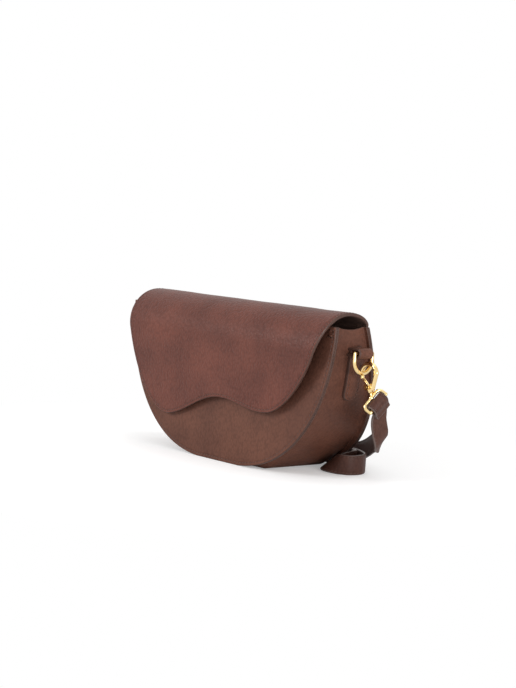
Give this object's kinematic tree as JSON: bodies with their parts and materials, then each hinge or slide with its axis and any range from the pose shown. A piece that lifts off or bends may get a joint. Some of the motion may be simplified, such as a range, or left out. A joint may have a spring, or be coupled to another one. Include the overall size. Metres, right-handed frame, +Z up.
{
  "type": "saddle handbag",
  "caption": "Half-moon leather saddle handbag with a waved front flap, hidden magnetic button, side rings on leather tabs and a clip-on shoulder strap.",
  "frame": {"origin": "middle of the flat foot of the gusset that the bag rests on", "axes": "+X to the bag's right as seen from its front, +Y to its back, +Z up; the flap and the front panel face -Y"},
  "size_m": [0.2944, 0.1232, 0.1313],
  "materials": {
    "body_leather": "pebbled, dark brown",
    "flap_leather": "pebbled, dark brown, soft sheen",
    "strap_leather": "smooth, dark brown, painted edges",
    "lining_leather": "thin, smooth",
    "lining_fabric": "plain weave",
    "board": "plain",
    "gold": "polished light gold plating"
  },
  "bodies": {
    "bag": {"front_panel": "body_leather", "back_panel": "body_leather", "gusset": "body_leather", "front_lining": "lining_fabric", "back_lining": "lining_fabric", "gusset_lining": "lining_fabric", "base_board": "board", "slip_pocket": "lining_fabric", "magnet_socket": "gold", "socket_washer": "gold", "flap_tail": "flap_leather", "right_tab": "body_leather", "left_tab": "body_leather", "strap": "strap_leather"},
    "flap": {"flap_leather": "flap_leather", "flap_lining": "lining_leather", "magnet_stud": "gold"},
    "right_ring": {"right_d_ring": "gold"},
    "right_drop": {"right_strap_end": "strap_leather", "right_swivel_eye": "gold"},
    "right_snap": {"right_hook": "gold", "right_gate_pin": "gold"},
    "right_latch": {"right_gate": "gold"},
    "left_ring": {"left_d_ring": "gold"},
    "left_drop": {"left_strap_end": "strap_leather", "left_swivel_eye": "gold"},
    "left_snap": {"left_hook": "gold", "left_gate_pin": "gold"},
    "left_latch": {"left_gate": "gold"}
  },
  "joints": [
    {"name": "flap_hinge", "type": "hinge", "parent": "bag", "child": "flap", "pos_m": [0, -0.0003, 0.1214], "axis": [-1, 0, 0], "range_deg": [0, 150]},
    {"name": "right_strap_bend", "type": "hinge", "parent": "bag", "child": "right_drop", "pos_m": [0.13497, 0.00612, 0.04282], "axis": [0.0556, 0.9154, 0.3986], "range_deg": [-2, 2], "stiffness_Nm_per_rad": 0.05},
    {"name": "right_ring_swing", "type": "hinge", "parent": "bag", "child": "right_ring", "pos_m": [0.1318, -0.0135, 0.101], "axis": [0, 1, 0], "range_deg": [-6.8, 6.8]},
    {"name": "right_hook_swivel", "type": "hinge", "parent": "right_drop", "child": "right_snap", "pos_m": [0.13801, -0.0085, 0.06766], "axis": [-0.2079, 0, 0.9781], "range_deg": [-10, 10]},
    {"name": "right_gate_hinge", "type": "hinge", "parent": "right_snap", "child": "right_latch", "pos_m": [0.13531, -0.0085, 0.07583], "axis": [0, 1, 0], "range_deg": [0, 35], "stiffness_Nm_per_rad": 0.002, "springref_deg": -20.05},
    {"name": "left_strap_bend", "type": "hinge", "parent": "bag", "child": "left_drop", "pos_m": [-0.13497, 0.00612, 0.04282], "axis": [-0.0556, 0.9154, 0.3986], "range_deg": [-2, 2], "stiffness_Nm_per_rad": 0.05},
    {"name": "left_ring_swing", "type": "hinge", "parent": "bag", "child": "left_ring", "pos_m": [-0.1318, -0.0135, 0.101], "axis": [0, 1, 0], "range_deg": [-6.8, 6.8]},
    {"name": "left_hook_swivel", "type": "hinge", "parent": "left_drop", "child": "left_snap", "pos_m": [-0.13801, -0.0085, 0.06766], "axis": [0.2079, 0, 0.9781], "range_deg": [-10, 10]},
    {"name": "left_gate_hinge", "type": "hinge", "parent": "left_snap", "child": "left_latch", "pos_m": [-0.13531, -0.0085, 0.07583], "axis": [0, -1, 0], "range_deg": [0, 35], "stiffness_Nm_per_rad": 0.002, "springref_deg": -20.05}
  ],
  "couplings": [
    {"joint": "right_ring_swing", "follows": "right_strap_bend", "ratio": -3.295},
    {"joint": "left_ring_swing", "follows": "left_strap_bend", "ratio": -3.295}
  ]
}
